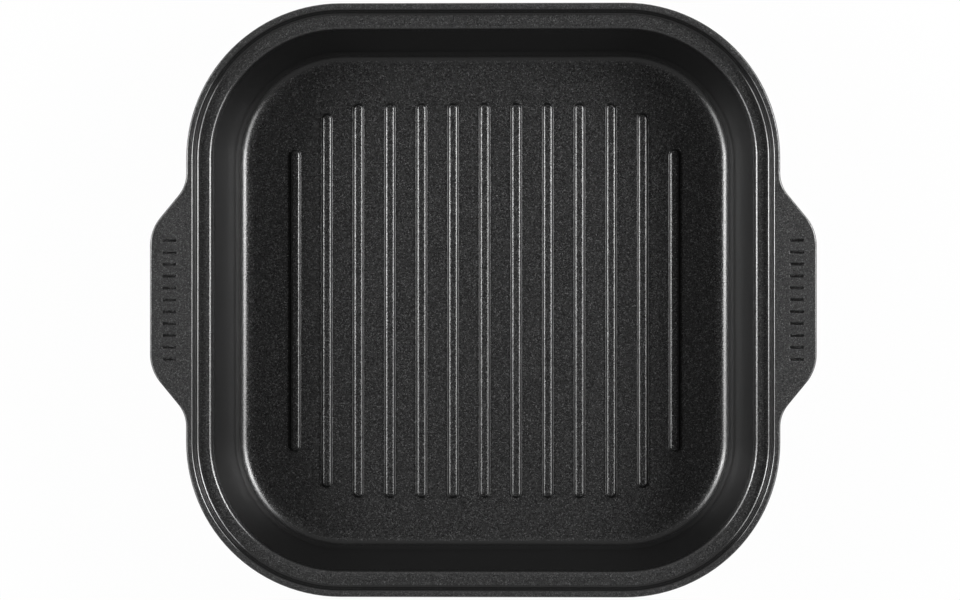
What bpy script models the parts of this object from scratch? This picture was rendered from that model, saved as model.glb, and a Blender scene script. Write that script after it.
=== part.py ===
"""Square cast grill pan: one ribbed casting with two ears, and the steel disc pressed into its base.

The pan stands on z = 0 with its centre on the z axis. Its ears point along x and its ribs run along y.
All sizes are in metres and all angles in degrees.
"""

import math

import bmesh
import bpy

# Overall form of the casting
PAN_WIDTH = 0.2800
PAN_HEIGHT = 0.0500
RIM_CORNER_RADIUS = 0.0730
WALL_DRAFT = 13.6
WALL_THICKNESS = 0.0036
FLOOR_THICKNESS = 0.0050
FLOOR_FILLET = 0.0095
BASE_FILLET = 0.0085

# Rim, seen in section from its outer edge inwards
RIM_EDGE_RADIUS = 0.0008
RIM_LAND = 0.0016
RIM_INNER_RADIUS = 0.0021
STEP_DEPTH = 0.0050
STEP_DRAFT = 13.0
STEP_FILLET = 0.0030
LEDGE_LAND = 0.0019
LEDGE_EDGE_RADIUS = 0.0038
RIM_BAND_DEPTH = 0.0080
UNDER_RIM_FILLET = 0.0030

# Ears, one on each side along x
EAR_REACH = 0.0171
EAR_THICKNESS = 0.0050
EAR_CORNER_MARGIN = 0.0072
EAR_FLANK_RUN = 0.0208
EAR_TIP_RADIUS = 0.0210
EAR_ROOT_RADIUS = 0.0165
EAR_UNDER_RADIUS = 0.0014

# Ribs on the floor
RIB_PITCH = 0.0153
RIB_HEIGHT = 0.0015
RIB_TOP_WIDTH = 0.0015
RIB_TOP_RADIUS = 0.0019
RIB_FLANK_DRAFT = 22.0
RIB_SIDE_MARGIN = 0.0165
RIB_END_MARGIN = 0.0152
RIB_FIELD_RADIUS = 0.0366
RIB_ROOT_DEPTH = 0.0015

# Round machined land under the floor, and the steel disc flush in it
BASE_LAND_HEIGHT = 0.0008
BASE_LAND_MARGIN = 0.0080
BASE_LAND_WIDTH = 0.0110
DISC_THICKNESS = 0.0012
DISC_EDGE_MARGIN = 0.0120
HOLE_RADIUS = 0.0028
HOLE_RING_PITCH = 0.0160
SEAT_CLEARANCE = 0.0003

# Facets of the round shapes
CORNER_STEPS = 11
EAR_ARC_STEPS = 5
FLOOR_FILLET_STEPS = 5
BASE_FILLET_STEPS = 4
BEND_STEPS = 3
EDGE_STEPS = 2
RIB_TOP_STEPS = 2
RIB_END_STEPS = 6
HOLE_SIDES = 8
DISC_SIDES = 72
FACET_TURN = math.radians(7.0)
SHARP_ANGLE = math.radians(40.0)
WELD_DISTANCE = 1e-6

HALF_WIDTH = PAN_WIDTH / 2
CORNER_CENTRE = HALF_WIDTH - RIM_CORNER_RADIUS
LEDGE_HEIGHT = PAN_HEIGHT - STEP_DEPTH
BAND_FOOT = PAN_HEIGHT - RIM_BAND_DEPTH
WALL_TILT = 90.0 - WALL_DRAFT
STEP_TILT = 90.0 - STEP_DRAFT


def clear_scene():
    for old in list(bpy.data.objects):
        bpy.data.objects.remove(old)


def collection_named(name):
    made = bpy.data.collections.new(name)
    bpy.context.scene.collection.children.link(made)
    return made


def finish_material(name, colour, roughness, metallic):
    material = bpy.data.materials.new(name)
    material.use_nodes = True
    shader = material.node_tree.nodes["Principled BSDF"]
    shader.inputs["Base Color"].default_value = (*colour, 1.0)
    shader.inputs["Roughness"].default_value = roughness
    shader.inputs["Metallic"].default_value = metallic
    return material


def object_from(bm, name, collection):
    mesh = bpy.data.meshes.new(name)
    bm.to_mesh(mesh)
    bm.free()
    mesh.shade_smooth()
    mesh.set_sharp_from_angle(angle=SHARP_ANGLE)
    made = bpy.data.objects.new(name, mesh)
    collection.objects.link(made)
    return made


def as_helper(helper):
    helper.hide_render = True
    helper.display_type = "WIRE"
    return helper


def boolean(target, operation, helper):
    modifier = target.modifiers.new(f"{operation.lower()} {helper.name}", "BOOLEAN")
    modifier.operation = operation
    modifier.object = helper


def angles(start, end, steps):
    return [math.radians(start + (end - start) * i / steps) for i in range(steps + 1)]


def bend(inset, height, radius, start, end, steps, sign):
    """An arc of the section. It is level at the given point, and tilts as it runs from there.

    sign is +1 where the arc runs inwards and down from its level end, and -1 where it runs outwards and up.
    """
    return [
        (inset + sign * radius * math.sin(a), height - sign * radius * (1 - math.cos(a)))
        for a in angles(start, end, steps)
    ]


def ear_shape():
    """Flank angle of the ear in radians, and the y of the centres of its tip and root arcs."""
    flank = math.atan2(EAR_REACH, EAR_FLANK_RUN)
    root_y = CORNER_CENTRE - EAR_CORNER_MARGIN
    tip_y = root_y - (EAR_ROOT_RADIUS + EAR_TIP_RADIUS) * math.tan(flank / 2) - EAR_FLANK_RUN
    return flank, tip_y, root_y


def quarter_outline(inset, with_ear, fading=False):
    """Plan points of the rim line moved inwards by inset, from the +x side round to the +y side.

    With the ear, the line runs round it. A fading inset is full along the ear and dies away where the ear
    joins the rim. Without the ear the line is straight there, and its spare points lie together, to be
    merged later.
    """
    flank, tip_y, root_y = ear_shape()
    points = [(HALF_WIDTH - inset, tip_y)] * (2 * EAR_ARC_STEPS + 1) + [(HALF_WIDTH - inset, root_y)]
    if with_ear:
        points = []
        for a in angles(0, math.degrees(flank), EAR_ARC_STEPS):
            reach = EAR_TIP_RADIUS - inset
            x = HALF_WIDTH + EAR_REACH - EAR_TIP_RADIUS + reach * math.cos(a)
            points.append((x, tip_y + reach * math.sin(a)))
        for a in angles(math.degrees(flank), 0, EAR_ARC_STEPS):
            reach = EAR_ROOT_RADIUS + inset * (a / flank if fading else 1)
            x = HALF_WIDTH + EAR_ROOT_RADIUS - reach * math.cos(a)
            points.append((x, root_y - reach * math.sin(a)))
    radius = RIM_CORNER_RADIUS - (0 if fading else inset)
    for a in angles(0, 90, CORNER_STEPS):
        points.append((CORNER_CENTRE + radius * math.cos(a), CORNER_CENTRE + radius * math.sin(a)))
    return points


def ring(inset, height, with_ear=False, fading=False):
    """One closed line of the casting: the quarter outline and its three mirror images."""
    quarter = quarter_outline(inset, with_ear, fading)
    there_and_back = quarter + [(-x, y) for x, y in reversed(quarter)]
    whole = there_and_back + [(-x, -y) for x, y in there_and_back]
    return [(x, y, height) for x, y in whole]


def step_foot():
    """Inset at which the step below the rim runs out into the level ledge."""
    tilt = math.radians(STEP_TILT)
    bends = RIM_INNER_RADIUS + STEP_FILLET
    straight = STEP_DEPTH - bends * (1 - math.cos(tilt))
    return RIM_LAND + bends * math.sin(tilt) + straight / math.tan(tilt)


def wall_inset(height, outside=False):
    """Inset of the inner or outer face of the drafted wall at a height."""
    tilt, draft = math.radians(WALL_TILT), math.radians(WALL_DRAFT)
    top_inset = step_foot() + LEDGE_LAND + LEDGE_EDGE_RADIUS * math.sin(tilt)
    top_height = LEDGE_HEIGHT - LEDGE_EDGE_RADIUS * (1 - math.cos(tilt))
    skin = WALL_THICKNESS / math.cos(draft) if outside else 0
    return top_inset + (top_height - height) * math.tan(draft) - skin


def level_inset(height, radius, sign, outside=False):
    """Inset at which a fillet that leaves the wall becomes level at a height."""
    tilt = math.radians(WALL_TILT)
    joint = height - sign * radius * (1 - math.cos(tilt))
    return wall_inset(joint, outside) - sign * radius * math.sin(tilt)


def floor_inset():
    return level_inset(FLOOR_THICKNESS, FLOOR_FILLET, -1)


def base_inset():
    return level_inset(BASE_LAND_HEIGHT, BASE_FILLET, -1, outside=True)


def casting_rings():
    """Lines of the casting, from the edge of its floor over the rim and down to the edge of its underside."""
    top = PAN_HEIGHT
    ear_under = PAN_HEIGHT - EAR_THICKNESS
    ledge_inner = step_foot() + LEDGE_LAND
    inside = bend(floor_inset(), FLOOR_THICKNESS, FLOOR_FILLET, 0, WALL_TILT, FLOOR_FILLET_STEPS, -1)
    inside += bend(ledge_inner, LEDGE_HEIGHT, LEDGE_EDGE_RADIUS, WALL_TILT, 0, BEND_STEPS, 1)
    inside += bend(step_foot(), LEDGE_HEIGHT, STEP_FILLET, 0, STEP_TILT, BEND_STEPS, -1)
    inside += bend(RIM_LAND, top, RIM_INNER_RADIUS, STEP_TILT, 0, BEND_STEPS, 1)
    rings = [ring(*point) for point in inside]

    for a in angles(0, 90, EDGE_STEPS):
        drop = RIM_EDGE_RADIUS * (1 - math.cos(a))
        rings.append(ring(RIM_EDGE_RADIUS * (1 - math.sin(a)), top - drop, with_ear=True))
    for a in angles(0, 90, EDGE_STEPS):
        rise = EAR_UNDER_RADIUS * (1 - math.sin(a))
        moved = EAR_UNDER_RADIUS * (1 - math.cos(a))
        rings.append(ring(moved, ear_under + rise, with_ear=True, fading=True))

    band = [(0, ear_under), (0, BAND_FOOT + RIM_EDGE_RADIUS), (RIM_EDGE_RADIUS, BAND_FOOT)]
    under = level_inset(BAND_FOOT, UNDER_RIM_FILLET, 1, outside=True)
    band += bend(under, BAND_FOOT, UNDER_RIM_FILLET, 0, WALL_TILT, BEND_STEPS, 1)
    band += bend(base_inset(), BASE_LAND_HEIGHT, BASE_FILLET, WALL_TILT, 0, BASE_FILLET_STEPS, -1)
    return rings + [ring(*point) for point in band]


def lofted(bm, rings):
    """Skins a stack of closed lines with equal counts, and closes the first and the last."""
    lines = [[bm.verts.new(point) for point in line] for line in rings]
    for lower, upper in zip(lines, lines[1:]):
        for i in range(len(lower)):
            j = (i + 1) % len(lower)
            bm.faces.new((lower[i], lower[j], upper[j], upper[i]))
    bm.faces.new(reversed(lines[0]))
    bm.faces.new(lines[-1])


def pan_shell(collection):
    bm = bmesh.new()
    lofted(bm, casting_rings())
    bmesh.ops.remove_doubles(bm, verts=bm.verts, dist=WELD_DISTANCE)
    bmesh.ops.recalc_face_normals(bm, faces=bm.faces)
    return object_from(bm, "pan_casting", collection)


def rib_ends():
    """(x, y of the round end's centre) of each rib. The ribs end on a field with round corners."""
    floor_half = HALF_WIDTH - floor_inset()
    field_x = floor_half - RIB_SIDE_MARGIN
    field_y = floor_half - RIB_END_MARGIN
    count = int(field_x / RIB_PITCH)
    ends = []
    for i in range(-count, count + 1):
        past = max(0.0, abs(i) * RIB_PITCH - (field_x - RIB_FIELD_RADIUS))
        tip = field_y - RIB_FIELD_RADIUS + math.sqrt(RIB_FIELD_RADIUS**2 - past**2)
        ends.append((i * RIB_PITCH, tip - rib_half_width(0)))
    return ends


def rib_half_width(height):
    """Half the width of a rib's drafted flank at a height above the floor."""
    tilt = math.radians(90.0 - RIB_FLANK_DRAFT)
    shoulder = RIB_HEIGHT - RIB_TOP_RADIUS * (1 - math.cos(tilt))
    shoulder_width = RIB_TOP_WIDTH / 2 + RIB_TOP_RADIUS * math.sin(tilt)
    return shoulder_width + (shoulder - height) / math.tan(tilt)


def rib_bars(collection):
    """All the ribs in one helper, each sunk into the floor so that it joins the casting."""
    levels = [(rib_half_width(-RIB_ROOT_DEPTH), -RIB_ROOT_DEPTH)]
    for a in angles(90.0 - RIB_FLANK_DRAFT, 0, RIB_TOP_STEPS):
        width = RIB_TOP_WIDTH / 2 + RIB_TOP_RADIUS * math.sin(a)
        levels.append((width, RIB_HEIGHT - RIB_TOP_RADIUS * (1 - math.cos(a))))
    bm = bmesh.new()
    for x, end in rib_ends():
        lines = []
        for half, height in levels:
            arc = angles(0, 180, RIB_END_STEPS)
            turn = [(x + half * math.cos(a), end + half * math.sin(a)) for a in arc]
            plan = turn + [(2 * x - px, -py) for px, py in turn]
            lines.append([(px, py, FLOOR_THICKNESS + height) for px, py in plan])
        lofted(bm, lines)
    bmesh.ops.recalc_face_normals(bm, faces=bm.faces)
    return as_helper(object_from(bm, "rib_bars", collection))


def land_radius():
    return HALF_WIDTH - base_inset() - BASE_LAND_MARGIN


def disc_radius():
    return land_radius() - BASE_LAND_WIDTH


def base_land(collection):
    bm = bmesh.new()
    depth = BASE_LAND_HEIGHT + DISC_THICKNESS
    bmesh.ops.create_cone(
        bm, cap_ends=True, segments=DISC_SIDES, radius1=land_radius(), radius2=land_radius(), depth=depth
    )
    bmesh.ops.translate(bm, verts=bm.verts, vec=(0, 0, depth / 2))
    return as_helper(object_from(bm, "base_land", collection))


def holes():
    """(x, y, direction of the first facet) of the middle hole and of the rings of six, twelve and so on.

    Every second ring is turned by half a step. The facets turn a little from ring to ring, so that their
    corners never line up across the disc.
    """
    places = [(0.0, 0.0, 0.0)]
    for n in range(1, int((disc_radius() - DISC_EDGE_MARGIN) / HOLE_RING_PITCH) + 1):
        reach = n * HOLE_RING_PITCH
        for i in range(6 * n):
            a = math.tau * (i + 0.5 * (n % 2)) / (6 * n)
            places.append((reach * math.cos(a), reach * math.sin(a), a + n * FACET_TURN))
    return places


def add_circle(curve, centre, radius, sides, start=0.0):
    spline = curve.splines.new("POLY")
    spline.points.add(sides - 1)
    for i, point in enumerate(spline.points):
        a = start + math.tau * i / sides
        point.co = (centre[0] + radius * math.cos(a), centre[1] + radius * math.sin(a), 0, 1)
    spline.use_cyclic_u = True


def perforated_disc(name, radius, hole_radius, low, high, collection):
    """A flat outline with its holes, given thickness, and made a mesh with its caps welded on."""
    curve = bpy.data.curves.new(name, "CURVE")
    curve.dimensions = "2D"
    curve.fill_mode = "BOTH"
    curve.extrude = (high - low) / 2
    add_circle(curve, (0, 0), radius, DISC_SIDES)
    for x, y, direction in holes():
        add_circle(curve, (x, y), hole_radius, HOLE_SIDES, direction)
    outline = bpy.data.objects.new(name + " outline", curve)
    collection.objects.link(outline)
    outline.location.z = (low + high) / 2
    bpy.context.view_layer.update()

    graph = bpy.context.evaluated_depsgraph_get()
    mesh = bpy.data.meshes.new_from_object(outline.evaluated_get(graph))
    bm = bmesh.new()
    bm.from_mesh(mesh)
    bmesh.ops.remove_doubles(bm, verts=bm.verts, dist=WELD_DISTANCE)
    made = object_from(bm, name, collection)
    made.matrix_world = outline.matrix_world
    bpy.data.objects.remove(outline)
    bpy.data.meshes.remove(mesh)
    return made


def build():
    clear_scene()
    parts = collection_named("grill pan")
    helpers = collection_named("helpers")

    casting = pan_shell(parts)
    boolean(casting, "UNION", rib_bars(helpers))
    boolean(casting, "UNION", base_land(helpers))
    recess = perforated_disc(
        "disc_recess",
        disc_radius() + SEAT_CLEARANCE,
        HOLE_RADIUS - SEAT_CLEARANCE,
        -DISC_THICKNESS,
        DISC_THICKNESS + SEAT_CLEARANCE,
        helpers,
    )
    boolean(casting, "DIFFERENCE", as_helper(recess))
    casting.data.materials.append(finish_material("black stone coating", (0.022, 0.022, 0.023), 0.45, 0.0))

    disc = perforated_disc("induction_disc", disc_radius(), HOLE_RADIUS, 0.0, DISC_THICKNESS, parts)
    disc.data.materials.append(finish_material("turned steel", (0.56, 0.55, 0.53), 0.32, 1.0))


build()
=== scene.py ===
import math

import bmesh
import bpy
from mathutils import Matrix, Vector


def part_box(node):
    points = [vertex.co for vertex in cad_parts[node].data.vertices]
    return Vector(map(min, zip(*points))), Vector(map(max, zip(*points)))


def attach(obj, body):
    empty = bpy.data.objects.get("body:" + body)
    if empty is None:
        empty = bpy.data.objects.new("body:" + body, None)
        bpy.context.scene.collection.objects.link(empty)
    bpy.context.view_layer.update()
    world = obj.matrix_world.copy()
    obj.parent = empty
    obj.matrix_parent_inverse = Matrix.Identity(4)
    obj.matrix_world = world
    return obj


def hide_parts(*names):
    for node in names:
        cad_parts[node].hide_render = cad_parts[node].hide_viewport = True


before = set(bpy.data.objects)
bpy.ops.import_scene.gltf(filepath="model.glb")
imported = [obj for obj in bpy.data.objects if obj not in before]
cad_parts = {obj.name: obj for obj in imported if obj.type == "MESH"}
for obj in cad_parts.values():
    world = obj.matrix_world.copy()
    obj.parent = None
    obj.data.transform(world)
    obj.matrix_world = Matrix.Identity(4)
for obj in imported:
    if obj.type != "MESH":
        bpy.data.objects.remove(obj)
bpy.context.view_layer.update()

# A square cast grill pan with short ears, seen from straight above

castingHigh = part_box("pan_casting")[1]
discLow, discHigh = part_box("induction_disc")
print("frame loaded:", ", ".join(sorted(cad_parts)))


# Shader nodes

class Wire:                                    # an output socket that takes part in sums
    def __init__(self, recipe, socket):
        self.recipe = recipe
        self.socket = socket

    def __add__(self, other):
        return self.recipe.sum("ADD", self, other)

    def __radd__(self, other):
        return self.recipe.sum("ADD", other, self)

    def __sub__(self, other):
        return self.recipe.sum("SUBTRACT", self, other)

    def __rsub__(self, other):
        return self.recipe.sum("SUBTRACT", other, self)

    def __mul__(self, other):
        return self.recipe.sum("MULTIPLY", self, other)

    def __rmul__(self, other):
        return self.recipe.sum("MULTIPLY", other, self)

    def __truediv__(self, other):
        return self.recipe.sum("DIVIDE", self, other)

    def __rtruediv__(self, other):
        return self.recipe.sum("DIVIDE", other, self)

    def __pow__(self, other):
        return self.recipe.sum("POWER", self, other)

    def __rpow__(self, other):
        return self.recipe.sum("POWER", other, self)


class Recipe:                                  # the nodes of one material, or of the world
    def __init__(self, owner):
        owner.use_nodes = True
        self.tree = owner.node_tree
        self.tree.nodes.clear()

    def add(self, kind, settings=None, sockets=None, output=0):     # any node, wrapped at one output
        node = self.tree.nodes.new(kind)
        for name, value in (settings or {}).items():
            setattr(node, name, value)
        for name, value in (sockets or {}).items():
            if isinstance(value, Wire):
                self.tree.links.new(value.socket, node.inputs[name])
            else:
                node.inputs[name].default_value = value
        return Wire(self, node.outputs[output]) if node.outputs else node

    def sum(self, operation, first, second):
        return self.add("ShaderNodeMath", {"operation": operation}, {0: first, 1: second})

    def between(self, value, low, high):       # 0 below low, 1 above high and smooth between them
        settings = {"interpolation_type": "SMOOTHSTEP"}
        sockets = {"Value": value, "From Min": low, "From Max": high}
        return self.add("ShaderNodeMapRange", settings, sockets)

    def colours(self, factor, first, second):  # a Mix node has colours at inputs 6 and 7 and at output 2
        return self.add("ShaderNodeMix", {"data_type": "RGBA"}, {0: factor, 6: first, 7: second}, 2)

    def place(self):
        return self.add("ShaderNodeTexCoord", output="Object")

    def noise(self, place, scale, detail, roughness):
        sockets = {"Vector": place, "Scale": scale, "Detail": detail, "Roughness": roughness}
        return self.add("ShaderNodeTexNoise", sockets=sockets)

    def surface(self, sockets, height, depth):     # a shader with these sockets and a relief of this depth
        bumpSockets = {"Height": height, "Strength": 1.0, "Distance": depth}
        bump = self.add("ShaderNodeBump", sockets=bumpSockets)
        shader = self.add("ShaderNodeBsdfPrincipled", sockets={**sockets, "Normal": bump})
        self.add("ShaderNodeOutputMaterial", sockets={"Surface": shader})


noiseMean = 0.5                                # what any noise comes to on average


def grey(shade):
    return (shade, shade, shade, 1.0)


# Materials

# Heights are in metres above the pan's foot. Level is 0 on an upright surface and 1 where it lies flat.
# A noise has its scale per metre, its detail and its roughness.
coating = {
    "gloss": grey(0.007),
    "floorDark": grey(0.006),
    "floorPaleSheen": (0.152, 0.152, 0.153, 1.0),
    # The rim's colours are paler than the floor's: painted light on the rim, which gets light that the
    # walls keep off the floor.
    "rimDark": grey(0.018),
    "rimPaleLit": (0.214, 0.214, 0.215, 1.0),
    "rimFrom": 0.038,                          # heights over which the floor's finish turns into the rim's, with paler colours there as painted light
    "rimTo": 0.0490,
    "stepLow": 0.0452,                         # heights of the smooth face of the step below the rim
    "stepHigh": 0.0498,
    "stepFade": 0.0003,
    "floorFrom": 0.80,                         # level at which the pale grain and its painted sheen come in, low in the pan
    "floorTo": 0.90,
    "flatFrom": 0.50,                          # and the same round the rim
    "flatTo": 0.80,
    "lyingFrom": 0.955,                        # level at which the relief gets deeper
    "lyingTo": 0.99,
    "steepFrom": 0.80,                         # level below which the gloss turns duller
    "steepTo": 0.50,
    "grainsPerMetre": 2700.0,
    "mottle": (1200.0, 3.0, 0.7),
    "grainBase": 0.15,
    "grainByLot": 0.35,
    "grainByMottle": 0.6,
    "grainContrast": 3.0,
    "grainStrength": 0.62,
    # pale specks in the grain, partly real flecks and partly painted glints
    "speckFrom": 0.88,
    "floorFlecksAndGlints": 0.50,
    "rimFlecksAndGlints": 0.25,
    "roughness": 0.18,
    "roughnessSpread": 0.06,
    "lyingRoughness": 0.02,
    "steepRoughness": 0.17,
    "rimRoughness": -0.07,
    "grainHeight": 0.000028,
    "lyingHeight": 1.0,
    "rimSmoother": 0.7,
    "refraction": 1.74,
}


def coatingMaterial():                         # baked black coating, with a fine pale grain on its flats that also holds a painted sheen
    material = bpy.data.materials.new("stone coating")
    recipe = Recipe(material)
    where = recipe.place()
    cellSockets = {"Vector": where, "Scale": coating["grainsPerMetre"]}
    distance = recipe.add("ShaderNodeTexVoronoi", sockets=cellSockets, output="Distance")
    cell = recipe.add("ShaderNodeTexVoronoi", sockets=cellSockets, output="Color")
    lot = recipe.add("ShaderNodeSeparateColor", sockets={"Color": cell}, output="Red")
    mottle = recipe.noise(where, *coating["mottle"])
    # pale specks: partly real flecks, partly painted glints
    flecksAndGlints = recipe.between(lot, coating["speckFrom"], 1.0)
    grain = lot * coating["grainByLot"] + mottle * coating["grainByMottle"] + coating["grainBase"]
    grain = grain ** coating["grainContrast"] * coating["grainStrength"]
    rise = recipe.add("ShaderNodeSeparateXYZ", sockets={"Vector": where}, output="Z")
    # painted light: the rim and ledge take paler colours than the floor, and a smoother gloss
    atRim = recipe.between(rise, coating["rimFrom"], coating["rimTo"])
    facing = recipe.add("ShaderNodeTexCoord", output="Normal")
    upward = recipe.add("ShaderNodeSeparateXYZ", sockets={"Vector": facing}, output="Z")
    # painted sheen: the grain is pale only where the surface lies level, with dark gloss where it tilts
    floorSheenMask = recipe.between(upward, coating["floorFrom"], coating["floorTo"])
    aboveFoot = recipe.between(rise, coating["stepLow"], coating["stepLow"] + coating["stepFade"])
    aboveTop = recipe.between(rise, coating["stepHigh"] - coating["stepFade"], coating["stepHigh"])
    onStep = aboveFoot - aboveTop
    # the same painted sheen round the rim, left off the face of the step
    rimSheenMask = recipe.between(upward, coating["flatFrom"], coating["flatTo"]) * (1.0 - onStep)
    floorGrainAndGlints = grain + flecksAndGlints * coating["floorFlecksAndGlints"]
    rimGrainAndGlints = grain + flecksAndGlints * coating["rimFlecksAndGlints"]
    floorGrainAndSheen = recipe.colours(floorGrainAndGlints, coating["floorDark"], coating["floorPaleSheen"])
    rimGrainAndSheen = recipe.colours(rimGrainAndGlints, coating["rimDark"], coating["rimPaleLit"])
    floorColour = recipe.colours(floorSheenMask, coating["gloss"], floorGrainAndSheen)
    rimColour = recipe.colours(rimSheenMask, coating["gloss"], rimGrainAndSheen)
    # painted light: the paler rim colours laid over the floor's
    shade = recipe.colours(atRim, floorColour, rimColour)
    lying = recipe.between(upward, coating["lyingFrom"], coating["lyingTo"])
    steep = 1.0 - recipe.between(upward, coating["steepTo"], coating["steepFrom"])
    rough = coating["roughness"] + (mottle - noiseMean) * coating["roughnessSpread"]
    rough = rough + lying * coating["lyingRoughness"] + steep * (1.0 - atRim) * coating["steepRoughness"]
    rough = rough + atRim * coating["rimRoughness"]
    relief = 1.0 + lying * coating["lyingHeight"] - (1.0 - lying) * atRim * coating["rimSmoother"]
    height = ((1.0 - distance) * lot + mottle) * relief
    sockets = {"Base Color": shade, "Roughness": rough, "IOR": coating["refraction"]}
    recipe.surface(sockets, height, coating["grainHeight"])
    return material


turned = {
    "aluminium": (0.60, 0.60, 0.61, 1.0),
    "aluminiumDull": (0.42, 0.42, 0.43, 1.0),
    "steel": (0.56, 0.55, 0.53, 1.0),
    "steelDull": (0.38, 0.37, 0.36, 1.0),
    "groovePitch": 0.00045,
    "wander": (25.0, 2.0, 0.5),
    "wanderGrooves": 0.6,
    "scuffs": (320.0, 4.0, 0.7),
    "scuffShade": 0.3,
    "scuffRoughness": 0.12,
    "stains": (38.0, 3.0, 0.6),
    "stainFrom": 0.45,
    "stainTo": 0.75,
    "stainShade": 0.5,
    "stainRoughness": 0.10,
    "roughness": 0.30,
    "relief": 0.000012,
    "grooveShare": 0.5,                        # shares of the relief
    "scuffShare": 0.6,
}


def turnedMaterial(name, clean, dull):         # bare metal with the rings that a lathe tool leaves
    material = bpy.data.materials.new(name)
    recipe = Recipe(material)
    where = recipe.place()
    flat = recipe.add("ShaderNodeVectorMath", {"operation": "MULTIPLY"}, {0: where, 1: (1.0, 1.0, 0.0)})
    radius = recipe.add("ShaderNodeVectorMath", {"operation": "LENGTH"}, {0: flat}, "Value")
    wander = recipe.noise(where, *turned["wander"])
    turns = (radius / turned["groovePitch"] + wander * turned["wanderGrooves"]) * math.tau
    groove = recipe.add("ShaderNodeMath", {"operation": "SINE"}, {0: turns})
    scuffs = recipe.noise(where, *turned["scuffs"])
    stains = recipe.between(recipe.noise(where, *turned["stains"]), turned["stainFrom"], turned["stainTo"])
    shade = recipe.colours(stains * turned["stainShade"] + scuffs * turned["scuffShade"], clean, dull)
    rough = turned["roughness"] + stains * turned["stainRoughness"]
    rough = rough + (scuffs - noiseMean) * turned["scuffRoughness"]
    height = groove * turned["grooveShare"] + scuffs * turned["scuffShare"]
    recipe.surface({"Base Color": shade, "Metallic": 1.0, "Roughness": rough}, height, turned["relief"])
    return material


coatingBlack = coatingMaterial()
bareAluminium = turnedMaterial("turned aluminium", turned["aluminium"], turned["aluminiumDull"])
turnedSteel = turnedMaterial("turned steel", turned["steel"], turned["steelDull"])
print("materials made")


# Mesh tools

guard = 0.0003                                 # flat margin that keeps each fillet's shading off the flat
touching = 0.000001                            # points that are closer than this are one
sharpFrom = 40.0                               # degrees between the faces at a sharp edge


def turn(start, end, steps):                   # evenly spaced angles between two in degrees, as radians
    return [math.radians(start + (end - start) * i / steps) for i in range(steps + 1)]


def bend(inset, height, radius, start, end, steps, side):   # arc of a section, level at the given point
    points = []
    for a in turn(start, end, steps):
        points.append((inset + side * radius * math.sin(a), height - side * radius * (1 - math.cos(a))))
    return points


def skin(mesh, lines):                         # joins a stack of closed lines and returns their vertices
    rings = [[mesh.verts.new(point) for point in line] for line in lines]
    for lower, upper in zip(rings, rings[1:]):
        for i in range(len(lower)):
            j = (i + 1) % len(lower)
            mesh.faces.new((lower[i], lower[j], upper[j], upper[i]))
    return rings


def raisedSides(bar):
    # (half width, height) up the side of a raised bar, from the flat round its foot to the flat of its top
    topHalf, topRound, footRound = bar["topHalf"], bar["topRound"], bar["footRound"]
    lean = 90.0 - bar["draft"]
    slope = math.radians(lean)
    straight = bar["height"] - (topRound + footRound) * (1 - math.cos(slope))
    foot = topHalf + (topRound + footRound) * math.sin(slope) + straight / math.tan(slope)
    sides = [(foot + guard, 0.0)]
    for a in turn(0, lean, bar["steps"]):
        sides.append((foot - footRound * math.sin(a), footRound * (1 - math.cos(a))))
    for a in turn(lean, 0, bar["steps"]):
        sides.append((topHalf + topRound * math.sin(a), bar["height"] - topRound * (1 - math.cos(a))))
    sides.append((topHalf - guard, bar["height"]))
    return sides


def raisedBar(mesh, centre, reach, across, sides, level, endSteps, up=1):
    # a bar with round ends, upside down if up is -1. reach is from its middle to the centre of each end,
    # along y, or along x if it lies across
    lines = []
    for half, height in sides:
        ends = [(half * math.cos(a), reach + half * math.sin(a)) for a in turn(0, 180, endSteps)]
        plan = ends + [(-x, -y) for x, y in ends]
        if across:
            plan = [(y, -x) for x, y in plan]
        lines.append([(centre[0] + x, centre[1] + y, level + up * height) for x, y in plan])
    rings = skin(mesh, lines)
    mesh.faces.new(rings[-1])


def circleLine(radius, height, sides):
    angles = turn(0, 360 - 360 / sides, sides - 1)
    return [(radius * math.cos(a), radius * math.sin(a), height) for a in angles]


def closeFlat(mesh, height):                   # fills the open flat at a height, round the holes in it
    level = [e for e in mesh.edges if len(e.link_faces) == 1]
    level = [e for e in level if all(abs(v.co.z - height) < touching for v in e.verts)]
    bmesh.ops.triangle_fill(mesh, use_beauty=True, edges=level, normal=(0, 0, 1))


def weld(mesh):
    bmesh.ops.remove_doubles(mesh, verts=mesh.verts, dist=touching)


def pieceFrom(mesh, name, node, materials):
    bmesh.ops.recalc_face_normals(mesh, faces=mesh.faces)
    data = bpy.data.meshes.new(name)
    mesh.to_mesh(data)
    mesh.free()
    for material in materials:
        data.materials.append(material)
    data.shade_smooth()
    data.set_sharp_from_angle(angle=math.radians(sharpFrom))
    piece = bpy.data.objects.new(name, data)
    bpy.context.scene.collection.objects.link(piece)
    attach(piece, "root")
    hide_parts(node)
    return piece


# The casting

# Lengths are in metres and angles in degrees, here and in the dictionaries below.
pan = {
    "halfWidth": castingHigh.y,
    "height": castingHigh.z,
    "cornerRadius": 0.0730,
    "wallDraft": 13.6,
    "wallThickness": 0.0036,
    "floorThickness": 0.0050,
    "floorFillet": 0.0095,
    "baseFillet": 0.0085,
    "rimEdge": 0.0008,
    "rimLand": 0.0016,
    "rimInner": 0.0021,
    "stepDepth": 0.0050,
    "stepDraft": 13.0,
    "stepFillet": 0.0030,
    "ledgeLand": 0.0019,
    "ledgeEdge": 0.0038,
    "bandDepth": 0.0080,
    "underRim": 0.0030,
    "cornerSteps": 28,
    "floorSteps": 16,
    "baseSteps": 14,
    "bendSteps": 8,
    "edgeSteps": 5,
    "bandSteps": 4,
}

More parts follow.
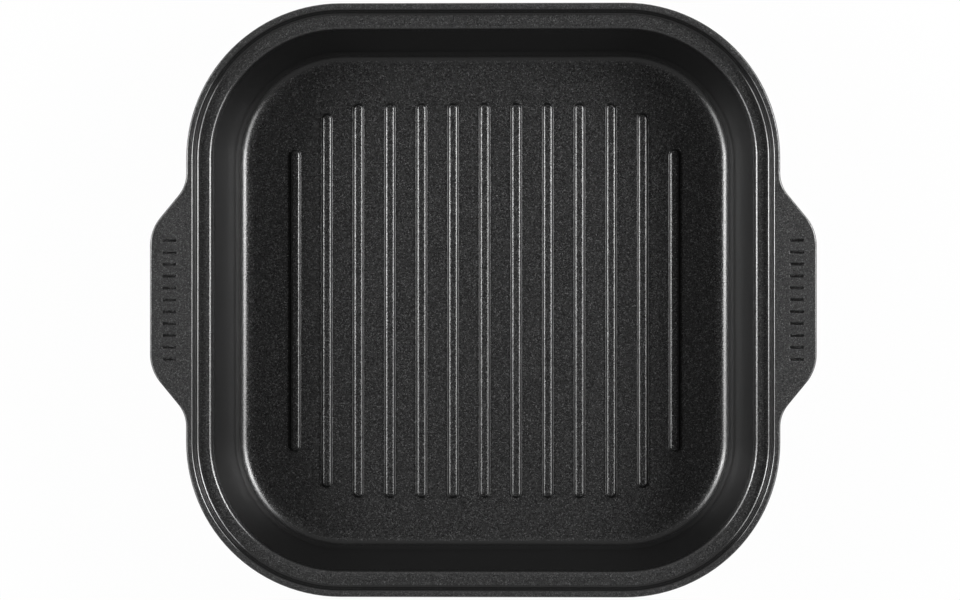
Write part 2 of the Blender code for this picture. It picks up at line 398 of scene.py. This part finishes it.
ear = {
    "reach": castingHigh.x - castingHigh.y,
    "thickness": 0.0050,
    "cornerMargin": 0.0072,
    "flankRun": 0.0208,
    "tipRadius": 0.0210,
    "rootRadius": 0.0165,
    "underEdge": 0.0014,
    "steps": 10,
}


def earShape():                                # flank angle in degrees, y of the tip and root centres
    flank = math.atan2(ear["reach"], ear["flankRun"])
    rootY = pan["halfWidth"] - pan["cornerRadius"] - ear["cornerMargin"]
    tipY = rootY - (ear["rootRadius"] + ear["tipRadius"]) * math.tan(flank / 2) - ear["flankRun"]
    return math.degrees(flank), tipY, rootY


def quarterLine(inset, withEar, fading):
    # the rim's line from the +x side round to the +y side, moved inwards by inset. With fading the inset
    # runs out along the root of the ear, and the corner has none
    half = pan["halfWidth"]
    flank, tipY, rootY = earShape()
    points = [(half - inset, tipY)] * (2 * ear["steps"] + 1) + [(half - inset, rootY)]
    if withEar:
        points = []
        for a in turn(0, flank, ear["steps"]):
            reach = ear["tipRadius"] - inset
            x = half + ear["reach"] - ear["tipRadius"] + reach * math.cos(a)
            points.append((x, tipY + reach * math.sin(a)))
        for a in turn(flank, 0, ear["steps"]):
            share = math.degrees(a) / flank if fading else 1
            reach = ear["rootRadius"] + inset * share
            points.append((half + ear["rootRadius"] - reach * math.cos(a), rootY - reach * math.sin(a)))
    centre = half - pan["cornerRadius"]
    radius = pan["cornerRadius"] - (0 if fading else inset)
    for a in turn(0, 90, pan["cornerSteps"]):
        points.append((centre + radius * math.cos(a), centre + radius * math.sin(a)))
    return points


def panLine(inset, height, withEar=False, fading=False):    # a whole line from its quarter
    quarter = quarterLine(inset, withEar, fading)
    halfLine = quarter + [(-x, y) for x, y in reversed(quarter)]
    return [(x, y, height) for x, y in halfLine + [(-x, -y) for x, y in halfLine]]


def stepFoot():                                # inset where the step below the rim runs out into the ledge
    slope = math.radians(90 - pan["stepDraft"])
    bends = pan["rimInner"] + pan["stepFillet"]
    straight = pan["stepDepth"] - bends * (1 - math.cos(slope))
    return pan["rimLand"] + bends * math.sin(slope) + straight / math.tan(slope)


def wallInset(height, outside=False):          # inset of the drafted wall's inner or outer face
    draft = math.radians(pan["wallDraft"])
    slope = math.radians(90 - pan["wallDraft"])
    topInset = stepFoot() + pan["ledgeLand"] + pan["ledgeEdge"] * math.sin(slope)
    topHeight = pan["height"] - pan["stepDepth"] - pan["ledgeEdge"] * (1 - math.cos(slope))
    thickness = pan["wallThickness"] / math.cos(draft) if outside else 0
    return topInset + (topHeight - height) * math.tan(draft) - thickness


def levelInset(height, radius, side, outside=False):        # where a fillet off the wall becomes level
    slope = math.radians(90 - pan["wallDraft"])
    joint = height - side * radius * (1 - math.cos(slope))
    return wallInset(joint, outside) - side * radius * math.sin(slope)


def insideLines():                             # from the floor's edge up to the land on top of the rim
    wallLean = 90 - pan["wallDraft"]
    stepLean = 90 - pan["stepDraft"]
    ledgeHeight = pan["height"] - pan["stepDepth"]
    steps = pan["bendSteps"]
    floorHeight = pan["floorThickness"]
    floorEdge = levelInset(floorHeight, pan["floorFillet"], -1)
    section = [(floorEdge + guard, floorHeight)]
    section += bend(floorEdge, floorHeight, pan["floorFillet"], 0, wallLean, pan["floorSteps"], -1)
    ledgeInner = stepFoot() + pan["ledgeLand"]
    section += bend(ledgeInner, ledgeHeight, pan["ledgeEdge"], wallLean, 0, steps, 1)
    section += [(ledgeInner - guard, ledgeHeight), (stepFoot() + guard, ledgeHeight)]
    section += bend(stepFoot(), ledgeHeight, pan["stepFillet"], 0, stepLean, steps, -1)
    section += bend(pan["rimLand"], pan["height"], pan["rimInner"], stepLean, 0, steps, 1)
    return [panLine(*point) for point in section]


def outsideLines():                            # from the rim's land round the ears and down to the base
    wallLean = 90 - pan["wallDraft"]
    edge = pan["rimEdge"]
    top = pan["height"]
    earUnder = top - ear["thickness"]
    lines = [panLine(edge + guard, top, True)]
    for a in turn(0, 90, pan["edgeSteps"]):
        lines.append(panLine(edge * (1 - math.sin(a)), top - edge * (1 - math.cos(a)), True))
    for a in turn(0, 90, pan["edgeSteps"]):
        moved = ear["underEdge"] * (1 - math.cos(a))
        lines.append(panLine(moved, earUnder + ear["underEdge"] * (1 - math.sin(a)), True, True))
    bandFoot = top - pan["bandDepth"]
    section = [(0, earUnder)]
    for a in turn(0, 90, pan["bandSteps"]):
        section.append((edge * (1 - math.cos(a)), bandFoot + edge * (1 - math.sin(a))))
    section.append((edge + guard, bandFoot))
    under = levelInset(bandFoot, pan["underRim"], 1, True)
    section += bend(under, bandFoot, pan["underRim"], 0, wallLean, pan["bendSteps"], 1)
    baseEdge = levelInset(base["landHeight"], pan["baseFillet"], -1, True)
    section += bend(baseEdge, base["landHeight"], pan["baseFillet"], wallLean, 0, pan["baseSteps"], -1)
    section.append((baseEdge + guard, base["landHeight"]))
    return lines + [panLine(*point) for point in section]


ribs = {
    "pitch": 0.0153,
    "height": 0.0015,
    "topHalf": 0.00075,
    "topRound": 0.0019,
    "footRound": 0.00045,
    "draft": 22.0,
    "sideMargin": 0.0165,
    "endMargin": 0.0152,
    "fieldRadius": 0.0366,
    "steps": 6,
    "endSteps": 20,
}


def addRibs(mesh):                             # their ends follow a round-cornered field on the floor
    floorHalf = pan["halfWidth"] - levelInset(pan["floorThickness"], pan["floorFillet"], -1)
    fieldX = floorHalf - ribs["sideMargin"]
    fieldY = floorHalf - ribs["endMargin"]
    sides = raisedSides(ribs)
    foot = sides[1][0]
    count = int(fieldX / ribs["pitch"])
    for i in range(-count, count + 1):
        past = max(0.0, abs(i) * ribs["pitch"] - (fieldX - ribs["fieldRadius"]))
        tip = fieldY - ribs["fieldRadius"] + math.sqrt(ribs["fieldRadius"]**2 - past**2)
        place = (i * ribs["pitch"], 0)
        raisedBar(mesh, place, tip - foot, False, sides, pan["floorThickness"], ribs["endSteps"])


grips = {
    "count": 11,
    "pitch": 0.0056,
    "length": 0.0074,
    "fromRim": 0.0078,
    "topHalf": 0.00036,
    "topRound": 0.00030,
    "footRound": 0.00020,
    "draft": 20.0,
    "height": 0.00045,
    "steps": 4,
    "endSteps": 10,
}


def addGrips(mesh):                            # a row of shallow slots in the top of each ear
    sides = raisedSides(grips)
    reach = grips["length"] / 2 - sides[1][0]
    middle = (grips["count"] - 1) / 2
    for end in (-1, 1):
        for i in range(grips["count"]):
            place = (end * (pan["halfWidth"] + grips["fromRim"]), (i - middle) * grips["pitch"])
            raisedBar(mesh, place, reach, True, sides, pan["height"], grips["endSteps"], -1)


base = {
    "landHeight": 0.0008,
    "landMargin": 0.0080,
    "landEdge": 0.0003,
    "landSteps": 4,
    "recessEdge": 0.00015,
    "recessSteps": 3,
    "clearance": 0.0003,
    "discThickness": discHigh.z - discLow.z,
    "discRadius": discHigh.x,
    "holeRadius": 0.0028,
    "holeRingPitch": 0.0160,
    "holeMargin": 0.0120,
    "turnedMargin": 0.0200,
    "sides": 192,
}

# The casting stands up into the holes of the disc.
pips = {
    "topRound": 0.0003,
    "footRound": 0.0001,
    "draft": 0.0,
    "steps": 3,
    "endSteps": 10,
}


def holePlaces():                              # the middle hole, then rings of six, twelve and so on
    places = [(0.0, 0.0)]
    rings = int((base["discRadius"] - base["holeMargin"]) / base["holeRingPitch"])
    for n in range(1, rings + 1):
        radius = n * base["holeRingPitch"]
        for i in range(6 * n):
            a = math.tau * (i + 0.5 * (n % 2)) / (6 * n)
            places.append((radius * math.cos(a), radius * math.sin(a)))
    return places


def addBase(mesh):                             # turned land, recess for the disc and the pips in its holes
    baseEdge = levelInset(base["landHeight"], pan["baseFillet"], -1, True)
    radius = pan["halfWidth"] - baseEdge - base["landMargin"]
    edge = base["landEdge"]
    high = base["landHeight"]
    recess = base["discRadius"] + base["clearance"]
    depth = base["discThickness"] + base["clearance"]
    lip = base["recessEdge"]
    profile = [(radius + edge + guard, high)]
    for a in turn(0, 90, base["landSteps"]):
        profile.append((radius + edge * (1 - math.sin(a)), high - edge * (1 - math.cos(a))))
    for a in turn(0, 90, base["landSteps"]):
        profile.append((radius - edge * (1 - math.cos(a)), edge * (1 - math.sin(a))))
    profile += [(radius - edge - guard, 0), (recess + lip + guard, 0)]
    for a in turn(0, 90, base["recessSteps"]):
        profile.append((recess + lip * (1 - math.sin(a)), lip * (1 - math.cos(a))))
    profile += [(recess, depth), (recess - guard, depth)]
    skin(mesh, [circleLine(r, z, base["sides"]) for r, z in profile])
    pipTop = base["holeRadius"] - base["clearance"] - pips["topRound"]
    sides = raisedSides({**pips, "topHalf": pipTop, "height": depth})
    for place in holePlaces():
        raisedBar(mesh, place, 0.0, False, sides, depth, pips["endSteps"], -1)
    return depth


def buildPan():
    mesh = bmesh.new()
    skin(mesh, insideLines())
    skin(mesh, outsideLines())
    addRibs(mesh)
    addGrips(mesh)
    recessFloor = addBase(mesh)
    weld(mesh)
    for height in (pan["floorThickness"], pan["height"], base["landHeight"], recessFloor):
        closeFlat(mesh, height)
    bareTo = base["landHeight"] - base["landEdge"]
    turnedTo = base["discRadius"] + base["turnedMargin"]
    for face in mesh.faces:
        middle = face.calc_center_median()
        radius = middle.xy.length
        inRecess = radius < base["discRadius"] and middle.z < recessFloor + guard
        bare = (middle.z < bareTo or inRecess) and radius < turnedTo
        face.material_index = 1 if bare else 0
    return pieceFrom(mesh, "panCasting", "pan_casting", [coatingBlack, bareAluminium])


# The steel disc

disc = {
    "edge": 0.00012,
    "holeSteps": 28,
}


def buildDisc():
    mesh = bmesh.new()
    edge = disc["edge"]
    low, high = discLow.z, discHigh.z
    radius = base["discRadius"]
    rim = [(radius - edge - guard, low), (radius - edge, low), (radius, low + edge)]
    rim += [(radius, high - edge), (radius - edge, high), (radius - edge - guard, high)]
    skin(mesh, [circleLine(r, z, base["sides"]) for r, z in rim])
    hole = base["holeRadius"]
    bore = [(hole + edge + guard, low), (hole + edge, low), (hole, low + edge)]
    bore += [(hole, high - edge), (hole + edge, high), (hole + edge + guard, high)]
    boreLines = [circleLine(r, z, disc["holeSteps"]) for r, z in bore]
    for x, y in holePlaces():
        skin(mesh, [[(x + px, y + py, pz) for px, py, pz in line] for line in boreLines])
    closeFlat(mesh, low)
    closeFlat(mesh, high)
    return pieceFrom(mesh, "baseDisc", "induction_disc", [turnedSteel])


panPiece = buildPan()
print("casting:", len(panPiece.data.polygons), "faces")
discPiece = buildDisc()
print("disc:", len(discPiece.data.polygons), "faces")


# Floor, world, lamps and camera

studio = {
    "floorHalf": 4.0,
    "floorGrey": 0.90,
    "shadowShare": 0.03,
    "ceiling": 0.02,                           # brightness of the room overhead
    "walls": 0.30,                             # and all round
    "wallsFrom": 0.35,                         # rise of a ray from which the walls fade into the ceiling
    "wallsTo": 0.80,
    "glowTop": 0.06,                           # rise below which reflections see the white ground
}


def rayIs(recipe, *kinds):                     # 1 for rays of these kinds
    found = 0.0
    for kind in kinds:
        found = recipe.add("ShaderNodeLightPath", output=kind) + found
    return recipe.add("ShaderNodeClamp", sockets={"Value": found})


def floorMaterial():                           # white to the eye and in reflections, with a faint shadow
    material = bpy.data.materials.new("white floor")
    recipe = Recipe(material)
    lit = recipe.add("ShaderNodeBsdfDiffuse", sockets={"Color": grey(studio["floorGrey"])})
    white = recipe.add("ShaderNodeEmission", sockets={"Color": grey(1.0), "Strength": 1.0})
    seen = recipe.add("ShaderNodeMixShader", sockets={0: studio["shadowShare"], 1: white, 2: lit})
    inView = rayIs(recipe, "Is Camera Ray", "Is Glossy Ray", "Is Transmission Ray")
    mixed = recipe.add("ShaderNodeMixShader", sockets={0: inView, 1: lit, 2: seen})
    recipe.add("ShaderNodeOutputMaterial", sockets={"Surface": mixed})
    return material


def buildFloor():
    mesh = bmesh.new()
    bmesh.ops.create_grid(mesh, x_segments=1, y_segments=1, size=studio["floorHalf"])
    data = bpy.data.meshes.new("floor")
    mesh.to_mesh(data)
    mesh.free()
    data.materials.append(floorMaterial())
    floor = bpy.data.objects.new("floor", data)
    bpy.context.scene.collection.objects.link(floor)


def buildWorld():                              # white to the eye and low in reflections, else a dim room
    world = bpy.data.worlds.new("studio")
    bpy.context.scene.world = world
    recipe = Recipe(world)
    direction = recipe.add("ShaderNodeTexCoord", output="Generated")
    rise = recipe.add("ShaderNodeSeparateXYZ", sockets={"Vector": direction}, output="Z")
    glow = 1.0 - recipe.between(rise, 0.0, studio["glowTop"])
    high = recipe.between(rise, studio["wallsFrom"], studio["wallsTo"])
    room = studio["walls"] + high * (studio["ceiling"] - studio["walls"])
    mirrored = rayIs(recipe, "Is Glossy Ray", "Is Transmission Ray")
    seen = rayIs(recipe, "Is Camera Ray")
    strength = seen + (1.0 - seen) * (room + mirrored * glow * (1.0 - studio["walls"]))
    shader = recipe.add("ShaderNodeBackground", sockets={"Color": grey(1.0), "Strength": strength})
    recipe.add("ShaderNodeOutputWorld", sockets={"Surface": shader})


lamps = {
    "away": 0.75,
    "lift": 0.518,
    "rise": 0.255,                             # short side of every lamp
    "back": {-1: 0.10, 1: 0.21},               # left and right, towards +y
    "lengths": {-1: (0.15, 0.28, 1.00), 1: (0.28, 0.48, 1.20)},
    "radiance": 5.2,
    "apart": 0.01,                             # from lamp to lamp, as a share of their distance
}


def buildLamps():                              # on either side a softbox that fades towards its ends
    aim = Vector((0, 0, pan["height"] / 2))
    for side, back in lamps["back"].items():
        away = Vector((side * lamps["away"], 0, lamps["lift"])) - aim
        for i, length in enumerate(lamps["lengths"][side]):
            data = bpy.data.lights.new("softbox", "AREA")
            data.shape = "RECTANGLE"
            data.size = length
            data.size_y = lamps["rise"]
            data.energy = lamps["radiance"] * math.pi * length * lamps["rise"]
            lamp = bpy.data.objects.new("softbox", data)
            lamp.location = aim + away * (1 + i * lamps["apart"]) + Vector((0, back, 0))
            lamp.rotation_euler = away.to_track_quat("Z", "Y").to_euler()
            bpy.context.scene.collection.objects.link(lamp)


camera = {
    "lift": 1.60,                              # above the rim
    "aside": (0.0353, -0.0100),
    "imageWidth": 960,
    "pixelsPerMetre": 2124.0,
    "rimCentre": (2.6, 0.1),                   # in pixels, right of and above the centre of the picture
    "sensor": 36.0,
}


def buildCamera():                             # above the middle, looking down, with +y up in the picture
    data = bpy.data.cameras.new("camera")
    data.sensor_width = camera["sensor"]
    data.lens = camera["sensor"] * camera["lift"] * camera["pixelsPerMetre"] / camera["imageWidth"]
    eye = Vector((*camera["aside"], pan["height"] + camera["lift"]))
    aimX, aimY = (-pixels / camera["pixelsPerMetre"] for pixels in camera["rimCentre"])
    aim = Vector((aimX, aimY, pan["height"]))
    back = (eye - aim).normalized()
    right = Vector((0, 1, 0)).cross(back).normalized()
    up = back.cross(right)
    holder = bpy.data.objects.new("camera", data)
    rows = [[right[i], up[i], back[i], eye[i]] for i in range(3)] + [[0, 0, 0, 1]]
    holder.matrix_world = Matrix(rows)
    bpy.context.scene.collection.objects.link(holder)
    bpy.context.scene.camera = holder


buildFloor()
buildWorld()
buildLamps()
buildCamera()
bpy.context.scene.view_settings.view_transform = "Standard"
print("floor, world, lamps and camera placed")
